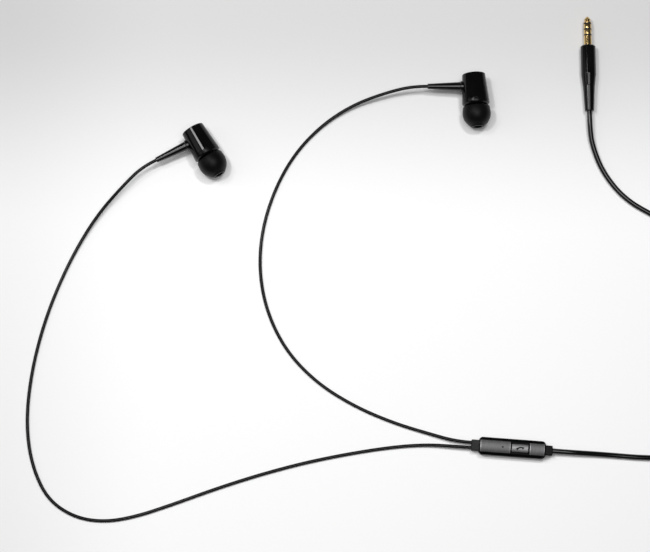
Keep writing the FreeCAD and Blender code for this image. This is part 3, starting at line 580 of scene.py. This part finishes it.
# Remote, along its length from its middle, across it, and up from the table
shell_corner = 1.5
seam_gap = 0.03             # from the seam to each shell
plate_thickness = 0.5
pocket_end = 14.35          # the plates' pockets, with a little room round the plates
pocket_half_width = 2.65
microphone_middle = -4.3
well_start = -0.6
well_end = 7.4
well_half_width = 2.7
well_wall = 0.25            # between the well and each pocket
well_floor = 3.75
button_middle = 3.4
button_crown_radius = 4.0
stem_radius = 0.8
stem_room = 0.85
cavity_half_length = 13.65
cavity_half_width = 2.9
cavity_floor = 0.9
cavity_ceiling = 3.2
near = 0.01                 # how close to a height a point counts as at it


def crown_drop(y, radius=crown_radius):
    """How far a crowned top has dropped at a distance from its middle line."""
    return radius - math.sqrt(radius ** 2 - y ** 2)


def cut_across(body, axis, places):
    """Divides the body with planes square to an axis, so that its faces can be shaped."""
    normal = Vector((0, 0, 0))
    normal[axis] = 1
    for position in places:
        bmesh.ops.bisect_plane(body, geom=body.verts[:] + body.edges[:] + body.faces[:],
                               dist=1e-6, plane_co=normal * position, plane_no=normal)


def faces_within(body, low_x, high_x, half_width, low_z, high_z):
    """The level or nearly level faces whose middles lie inside a box."""
    found = []
    for face in body.faces:
        middle = face.calc_center_median()
        if (abs(face.normal.z) > 0.5 and low_x < middle.x < high_x and abs(middle.y) < half_width
                and low_z < middle.z < high_z):
            found.append(face)
    return found


def sunk(body, faces, depth=None, floor=None):
    """Sinks the faces by a depth, or as far as a floor."""
    made = bmesh.ops.extrude_face_region(body, geom=faces)
    moved = [item for item in made["geom"] if isinstance(item, bmesh.types.BMVert)]
    bmesh.ops.delete(body, geom=faces, context="FACES")
    for vertex in moved:
        vertex.co.z = floor if depth is None else vertex.co.z - depth


def crowned(body, radius=crown_radius):
    """Bows the level top down towards its sides."""
    for vertex in body.verts:
        if vertex.co.z > crown_height - near:
            vertex.co.z -= crown_drop(vertex.co.y, radius)
    body.normal_update()


def rim_edges(body, lowest):
    """The edges above a height where the faces turn sharply."""
    return [edge for edge in body.edges if len(edge.link_faces) == 2
            and min(vertex.co.z for vertex in edge.verts) > lowest
            and edge.calc_face_angle(0) > math.radians(45)]


def hollowed(body, seam, floor):
    """Opens the cavity for the board in a shell, from its seam as far as a floor."""
    cut_across(body, 0, [-cavity_half_length, cavity_half_length])
    cut_across(body, 1, [-cavity_half_width, cavity_half_width])
    body.normal_update()
    sunk(body, faces_within(body, -cavity_half_length, cavity_half_length, cavity_half_width,
                            seam - near, seam + near), floor=floor)


def shell_block(low, high):
    """A block as long and wide as the remote, between two heights, with rounded corners."""
    body = block((-remote_length / 2, -remote_width / 2, low),
                 (remote_length / 2, remote_width / 2, high))
    soften(body, [edge for edge in body.edges if along_axis(edge, 2)], shell_corner, 8)
    return body


def front_shell_body():
    """The front shell, with two pockets for the plates, the button's well and its stem's hole."""
    seam = remote_split + seam_gap
    first_pocket = (-pocket_end, well_start - well_wall)
    last_pocket = (well_end + well_wall, pocket_end)
    body = shell_block(seam, crown_height)
    strip_width = 0.45      # six strips reach the well's edge, so that cut isn't made twice
    strips = [step * strip_width for step in range(-8, 9) if abs(step) != 6]
    cut_across(body, 1, strips + [-pocket_half_width, pocket_half_width, -well_half_width,
                                  well_half_width])
    cut_across(body, 0, [*first_pocket, well_start, well_end, *last_pocket])
    crowned(body)
    above_side = remote_split + 1
    soften(body, rim_edges(body, above_side), 0.4, 5)
    cut_across(body, 0, [button_middle - stem_room, button_middle + stem_room])
    cut_across(body, 1, [-stem_room, stem_room])
    body.normal_update()
    for pocket in (first_pocket, last_pocket):
        sunk(body, faces_within(body, *pocket, pocket_half_width, above_side, crown_height),
             depth=plate_thickness)
    sunk(body, faces_within(body, well_start, well_end, well_half_width, above_side,
                            crown_height), floor=well_floor)
    hollowed(body, seam, cavity_ceiling)
    body.normal_update()
    stem_hole = faces_within(body, button_middle - stem_room, button_middle + stem_room,
                             stem_room, cavity_ceiling - near, well_floor + near)
    bmesh.ops.delete(body, geom=stem_hole, context="FACES")
    bmesh.ops.bridge_loops(body, edges=[edge for edge in body.edges if edge.is_boundary])
    bmesh.ops.recalc_face_normals(body, faces=body.faces)
    return body


def back_shell_body():
    """The back shell, rounded underneath and hollow above."""
    seam = remote_split - seam_gap
    body = shell_block(0, seam)
    body.normal_update()
    under = [edge for edge in body.edges if max(vertex.co.z for vertex in edge.verts) < near]
    soften(body, under, 0.5, 5)
    hollowed(body, seam, cavity_floor)
    bmesh.ops.recalc_face_normals(body, faces=body.faces)
    return body


def button_body():
    """The button's crowned cap, and the stem that presses the switch dome."""
    half_length = 3.7
    half_width = 1.8
    cap_bottom = 4.15
    body = block((button_middle - half_length, -half_width, cap_bottom),
                 (button_middle + half_length, half_width, crown_height))
    soften(body, [edge for edge in body.edges if along_axis(edge, 2)], 0.35, 5)
    cut_across(body, 1, [step * 0.3 for step in range(-5, 6)])
    crowned(body, button_crown_radius)
    soften(body, rim_edges(body, cap_bottom + 0.15), 0.14, 4)
    stem_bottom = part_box("call_button")[0].z / MM
    stem_top = 4.2
    middle = Vector((button_middle, 0, (stem_bottom + stem_top) / 2))
    bmesh.ops.create_cone(body, cap_ends=True, segments=32, radius1=stem_radius,
                          radius2=stem_radius, depth=stem_top - stem_bottom,
                          matrix=Matrix.Translation(middle))
    return body


def handset_mark_body():
    """A generic handset, painted on the button: a bowed grip with a broad end on each side."""
    body = bmesh.new()
    bow = 1.9
    half_turn = math.radians(52)
    tilt = Matrix.Rotation(math.radians(11), 2)
    steps = 14
    across = (-1, -0.5, 0, 0.5, 1)
    thin = 0.3
    flare = 0.3
    flare_start = 0.55
    lift = 0.3              # of the mark towards the far side
    paint_rise = 0.012
    paint_thickness = 0.02
    for step in range(steps + 1):
        angle = half_turn * (2 * step / steps - 1)
        share = abs(angle) / half_turn
        half_width = thin + flare * max(0.0, share - flare_start) / (1 - flare_start)
        for part in across:
            reach = bow + part * half_width
            flat = tilt @ Vector((reach * math.sin(angle), reach * math.cos(angle) - bow + lift))
            height = crown_height - crown_drop(flat.y, button_crown_radius) + paint_rise
            body.verts.new((button_middle + flat.x, flat.y, height))
    body.verts.ensure_lookup_table()
    row = len(across)
    for step in range(steps):
        for column in range(row - 1):
            first = row * step + column
            body.faces.new([body.verts[first + corner] for corner in (0, 1, row + 1, row)])
    for face in body.faces:
        face.normal_update()
        if face.normal.z < 0:
            face.normal_flip()
    bmesh.ops.solidify(body, geom=body.faces[:], thickness=paint_thickness)
    return body


def hole_shade_disc_body():
    """A near-black disc at the bottom of the microphone's hole: painted shade."""
    radius = 0.39
    thickness = 0.06
    body = bmesh.new()
    height = crown_height - plate_thickness + thickness / 2
    bmesh.ops.create_cone(body, cap_ends=True, segments=32, radius1=radius, radius2=radius,
                          depth=thickness,
                          matrix=Matrix.Translation((microphone_middle, 0, height)))
    return body


def collar_body(end, length, width, holes):
    """A rounded rubber collar with a lip round each cord."""
    half_height = 1.8
    lip_width = 0.25
    lip_reach = 0.18
    lip_root = 0.4
    low, high = sorted((end * remote_length / 2, end * (remote_length / 2 + length)))
    body = block((low, -width / 2, remote_cord_height - half_height),
                 (high, width / 2, remote_cord_height + half_height))
    soften(body, [edge for edge in body.edges if along_axis(edge, 0)], 0.5, 5)
    face = max(body.faces, key=lambda item: end * item.calc_center_median().x)
    soften(body, list(face.edges), 0.25, 3)
    for y, radius in holes:
        lip = turned(rounded([
            (-lip_root, radius), (-lip_root, radius + lip_width),
            (lip_reach, radius + lip_width, 0.1), (lip_reach, radius)]), 48)
        turn = Matrix.Rotation(0 if end > 0 else math.pi, 4, "Z")
        shift = Matrix.Translation((end * (remote_length / 2 + length), y, remote_cord_height))
        bmesh.ops.transform(lip, matrix=shift @ turn, verts=lip.verts)
        spare = bpy.data.meshes.new("lip")
        lip.to_mesh(spare)
        lip.free()
        body.from_mesh(spare)
        bpy.data.meshes.remove(spare)
    return body


def merged_copy(node):
    """A copy of a CAD node, along the remote and in millimetres, with its triangles joined."""
    body = bmesh.new()
    body.from_mesh(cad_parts[node].data)
    bmesh.ops.transform(body, matrix=remote_matrix.inverted() @ Matrix.Scale(1 / MM, 4),
                        verts=body.verts)
    bmesh.ops.remove_doubles(body, verts=body.verts, dist=1e-4)
    return body


def plate_body(node):
    """A plate of the part with eased edges and a polished strip across each end, painted lighter as
    a highlight.
    """
    polished_highlight_width = 0.32
    hole_room = 0.7
    body = merged_copy(node)
    bmesh.ops.dissolve_limit(body, angle_limit=math.radians(0.5), verts=body.verts,
                             edges=body.edges)
    body.normal_update()
    soften(body, rim_edges(body, 0), 0.07, 3)
    places = [vertex.co.x for vertex in body.verts]
    low, high = min(places) + polished_highlight_width, max(places) - polished_highlight_width
    cut_across(body, 0, [low, microphone_middle - hole_room, microphone_middle + hole_room,
                         high])
    # The end strips take the lighter metal, a painted highlight.
    for face in body.faces:
        face.material_index = int(not low < face.calc_center_median().x < high)
    return body


finished(front_shell_body(), "remote_front", remote_matrix, remote_plastic,
         nodes=["remote_front_shell"])
finished(back_shell_body(), "remote_back", remote_matrix, remote_plastic,
         nodes=["remote_back_shell"])
for node in ("microphone_plate", "end_plate"):
    plate = finished(plate_body(node), "eased_" + node, remote_matrix, grey_metal,
                     nodes=[node])
    plate.data.materials.append(polished_highlight_edge)
finished(button_body(), "button_cap", remote_matrix, button_metal,
         rides="call_button", nodes=["call_button"])
dome = finished(merged_copy("switch_dome"), "snap_dome", remote_matrix, steel,
                nodes=["switch_dome"])
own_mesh(dome)
finished(handset_mark_body(), "handset_mark", remote_matrix, mark_paint,
         rides="call_button")
# Painted shade in the microphone's hole
finished(hole_shade_disc_body(), "microphone_hole_shade", remote_matrix, microphone_hole_shade)
branch_holes = [(way * branch_spacing / 2, branch_radius) for way in (1, -1)]
finished(collar_body(-1, splitter_length, 4.9, branch_holes), "branch_collar", remote_matrix,
         collar_rubber, nodes=["splitter_collar"])
finished(collar_body(1, cable_collar_length, 4.5, [(0, main_radius)]), "main_collar",
         remote_matrix, black_rubber, nodes=["cable_collar"])


# Plug, along its axis from where the cord enters
relief_end = 11.8
flange_start = 13.95
flange_radius = 2.4
relief_neck_radius = 1.95
shell_front = 30.9
pin_end = shell_front + 14.0
pin_radius = 1.75
contact_bore = 1.0
contact_edge = 0.04
tip_length = 3.2
ring_length = 2.1
insulator_length = 0.6


def plug_relief_body():
    """The plug's tapered strain relief, with a flange that the shell holds."""
    bore = 1.25
    flange = flange_start + slip
    end = 14.95
    return turned(rounded([
        (0, bore), (0, 2.1, 0.25), (relief_end, 2.75, 0.08), (relief_end, relief_neck_radius),
        (flange, relief_neck_radius), (flange, flange_radius), (end, flange_radius),
        (end, bore)]))


def plug_shell_body():
    """The plug's shell, with a cone at the strain relief's end."""
    start = relief_end + slip
    inside = relief_neck_radius + slip
    bore = flange_radius + slip
    return turned(rounded([
        (start, inside), (start, 2.8, 0.1), (17.3, shell_radius, 2.0),
        (shell_front - 0.5, shell_radius, 0.2), (shell_front, 2.95, 0.15), (shell_front, bore),
        (flange_start, bore), (flange_start, inside)]))


def band_body(start, end):
    """A ring or sleeve contact of the plug's pin."""
    return turned(rounded([
        (start, contact_bore), (start, pin_radius, contact_edge),
        (end, pin_radius, contact_edge), (end, contact_bore)]), 72)


def tip_contact_body():
    """The pin's tip, with the waist that a socket's spring snaps into."""
    back = pin_end - tip_length
    rod_radius = 0.45
    waist_radius = 1.25
    return turned([(back - 1.0, 0.0)] + rounded([
        (back - 1.0, rod_radius), (back, rod_radius), (back, pin_radius, contact_edge),
        (back + 0.35, pin_radius, 0.08), (back + 0.8, waist_radius, 0.15),
        (back + 1.15, waist_radius, 0.15), (back + 1.6, 1.65, 0.25),
        (pin_end - 0.25, 0.55, 0.3), (pin_end, 0.3, 0.1)]) + [(pin_end, 0.0)], 72)


plug_pieces = [
    finished(plug_relief_body(), "plug_cord_relief", plug_matrix, plug_plastic,
             nodes=["plug_strain_relief"]),
    finished(plug_shell_body(), "plug_housing", plug_matrix, plug_plastic,
             nodes=["plug_shell"]),
    finished(tip_contact_body(), "plug_pin_tip", plug_matrix, gold,
             nodes=["plug_tip_contact"])]
band_end = pin_end - tip_length - insulator_length
for name in ("plug_ring_1", "plug_ring_2", "plug_sleeve"):
    band_start = shell_front if name == "plug_sleeve" else band_end - ring_length
    plug_pieces.append(finished(band_body(band_start, band_end), name, plug_matrix, gold,
                                nodes=[name + "_contact"]))
    band_end = band_start - insulator_length


# The CAD nodes that stay, each with its material
bud_materials = {
    "nozzle_mesh": mesh_steel, "driver_frame": inner_plastic, "driver_board": board_green,
    "yoke": steel, "magnet": nickel, "pole_plate": steel, "voice_coil": copper, "diaphragm": film,
    "driver_grille": mesh_steel, "cord_knot": cord_jacket, "lead_wires": copper}
node_materials = {
    "switch_base": inner_plastic, "remote_board": board_green, "microphone": inner_plastic,
    "microphone_gasket": black_rubber, "remote_cord_ends": cord_jacket,
    "plug_core": inner_plastic, "plug_cord_end": cord_jacket, "plug_insulators": inner_plastic}
for side in ("left", "right"):
    for node, material in bud_materials.items():
        node_materials[side + "_" + node] = material
for node, material in node_materials.items():
    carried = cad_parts[node]
    carried.data.materials.clear()
    carried.data.materials.append(material)


# Tie round the coil
def tie_body():
    """A band round the turns of the coil: a rounded block, bridged through from end to end."""
    thickness = 0.5
    low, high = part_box("cord_tie")
    low, high = low / MM, high / MM
    body = block(low, high)
    soften(body, [edge for edge in body.edges if along_axis(edge, 1)], 1.0, 6)
    for way in (-1, 1):
        face = max(body.faces, key=lambda item: way * item.calc_center_median().y)
        bmesh.ops.inset_region(body, faces=[face], thickness=thickness, use_even_offset=True)
    inner = [face for face in body.faces if abs(face.normal.y) > 0.9 and len(face.verts) > 8]
    bmesh.ops.bridge_loops(body, edges=[edge for face in inner for edge in face.edges])
    bmesh.ops.delete(body, geom=inner, context="FACES_ONLY")
    bmesh.ops.recalc_face_normals(body, faces=body.faces)
    return body


tie = finished(tie_body(), "coil_tie", Matrix.Identity(4), tie_rubber,
               nodes=["cord_tie"])
plug_pieces += [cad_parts[name] for name in ("plug_core", "plug_cord_end", "plug_insulators")]


# Floor, lamps and world
def faded(nodes, links, place, start, end, low, high):
    """A smooth change from one value to another between two places along an axis."""
    fade = nodes.new("ShaderNodeMapRange")
    fade.interpolation_type = "SMOOTHSTEP"
    fade.inputs["From Min"].default_value = start
    fade.inputs["From Max"].default_value = end
    fade.inputs["To Min"].default_value = low
    fade.inputs["To Max"].default_value = high
    links.new(place, fade.inputs["Value"])
    return fade.outputs["Result"]


def add_floor():
    """A white table with painted shade that makes it a little greyer towards its far and left
    edges, as in the photograph.
    """
    half_size = 2.5
    body = bmesh.new()
    bmesh.ops.create_grid(body, x_segments=8, y_segments=8, size=half_size)
    mesh = bpy.data.meshes.new("table_top")
    body.to_mesh(mesh)
    body.free()
    material, nodes, links, shader = new_material("table_white")
    coordinates = nodes.new("ShaderNodeTexCoord")
    apart = nodes.new("ShaderNodeSeparateXYZ")
    links.new(coordinates.outputs["Object"], apart.inputs["Vector"])
    both = nodes.new("ShaderNodeMath")
    both.operation = "MULTIPLY"
    # Painted shade: the table's colour darkens towards its far edge and its left edge, where the
    # light falls off.
    far_painted_shade = faded(nodes, links, apart.outputs["Y"], 0.01, 0.12, 0.98, 0.68)
    left_painted_shade = faded(nodes, links, apart.outputs["X"], -0.17, -0.08, 0.88, 1.0)
    links.new(far_painted_shade, both.inputs[0])
    links.new(left_painted_shade, both.inputs[1])
    grey = nodes.new("ShaderNodeCombineColor")
    for channel in ("Red", "Green", "Blue"):
        links.new(both.outputs["Value"], grey.inputs[channel])
    links.new(grey.outputs["Color"], shader.inputs["Base Color"])
    shader.inputs["Roughness"].default_value = 0.6
    shader.inputs["Specular IOR Level"].default_value = 0.1
    mesh.materials.append(material)
    floor = bpy.data.objects.new("table_top", mesh)
    bpy.context.collection.objects.link(floor)


def add_lamp(name, location, aim, size, power, mirrored=True):
    """A soft lamp, in metres and watts. One that isn't mirrored gives no glints."""
    lamp = bpy.data.objects.new(name, bpy.data.lights.new(name, "AREA"))
    lamp.data.shape = "RECTANGLE"
    lamp.data.size, lamp.data.size_y = size
    lamp.data.energy = power
    lamp.location = location
    lamp.visible_glossy = mirrored
    lamp.rotation_euler = (Vector(aim) - Vector(location)).to_track_quat("-Z", "Y").to_euler()
    bpy.context.collection.objects.link(lamp)


def add_world():
    """A faint even light from all round."""
    world = bpy.data.worlds.new("studio")
    bpy.context.scene.world = world
    world.use_nodes = True
    background = world.node_tree.nodes["Background"]
    background.inputs["Color"].default_value = (1, 1, 1, 1)
    background.inputs["Strength"].default_value = 0.05


add_floor()
add_world()
add_lamp("overhead_softbox", (0.02, 0, 0.8), (0.02, 0, 0), (0.5, 0.5), 2.75)
add_lamp("left_lamp", (-0.26, 0.10, 0.8), (-0.05, 0, 0), (0.07, 0.07), 1.75, mirrored=False)
add_lamp("right_lamp", (0.16, 0.25, 0.8), (0.05, 0, 0), (0.12, 0.04), 1.75, mirrored=False)
add_lamp("barrel_light", (-0.381, 0.246, 0.79), (-0.229, -0.012, 0), (0.25, 0.09), 1.1)
add_lamp("left_panel", (-0.7, 0.1, 0.5), (0, 0, 0), (0.5, 0.5), 0.6)

bpy.context.scene.view_settings.view_transform = "Standard"
